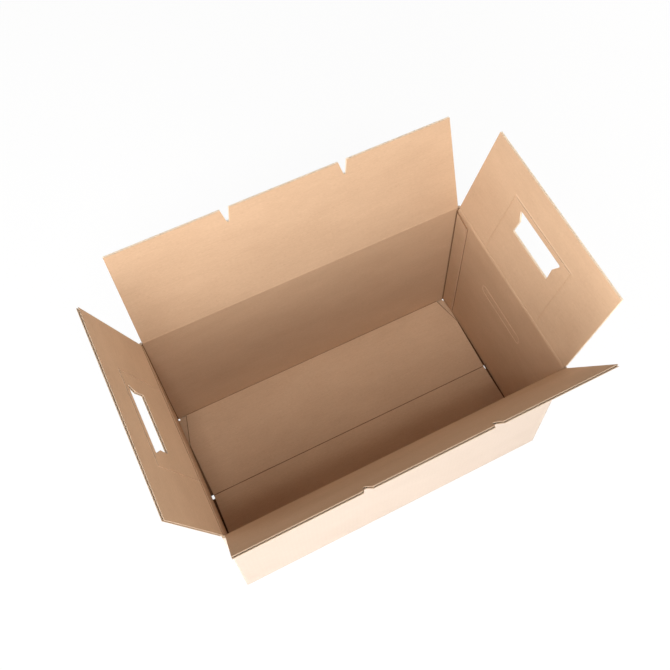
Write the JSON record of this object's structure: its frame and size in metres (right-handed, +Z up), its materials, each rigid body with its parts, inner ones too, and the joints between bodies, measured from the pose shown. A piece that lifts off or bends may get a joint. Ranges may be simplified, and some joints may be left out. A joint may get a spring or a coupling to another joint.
{
  "type": "cardboard storage box",
  "caption": "Open rectangular carton of corrugated board with a folded bottom, hinged top flaps, interlocking notches and hand holes, for storing and carrying goods.",
  "frame": {"origin": "centre of the base, on the surface that the carton stands on", "axes": "+X along the long side, +Y from the front wall to the back wall, +Z up"},
  "size_m": [0.7228, 0.4991, 0.5416],
  "materials": {
    "board": "matt kraft liner"
  },
  "bodies": {
    "carton": {"carton": "board"},
    "back_flap": {"back_flap": "board"},
    "front_flap": {"front_flap": "board"},
    "left_flap": {"left_flap": "board"},
    "right_flap": {"right_flap": "board"}
  },
  "joints": [
    {"name": "back_flap_crease", "type": "hinge", "parent": "carton", "child": "back_flap", "pos_m": [0, 0.177, 0.355], "axis": [1, 0, 0], "range_deg": [-121.2, 108.8]},
    {"name": "front_flap_crease", "type": "hinge", "parent": "carton", "child": "front_flap", "pos_m": [0, -0.177, 0.355], "axis": [-1, 0, 0], "range_deg": [-116, 112.2]},
    {"name": "left_flap_crease", "type": "hinge", "parent": "carton", "child": "left_flap", "pos_m": [-0.302, 0, 0.3505], "axis": [0, 1, 0], "range_deg": [-123.2, 156.8]},
    {"name": "right_flap_crease", "type": "hinge", "parent": "carton", "child": "right_flap", "pos_m": [0.302, 0, 0.3505], "axis": [0, -1, 0], "range_deg": [-123.2, 156.8]}
  ]
}
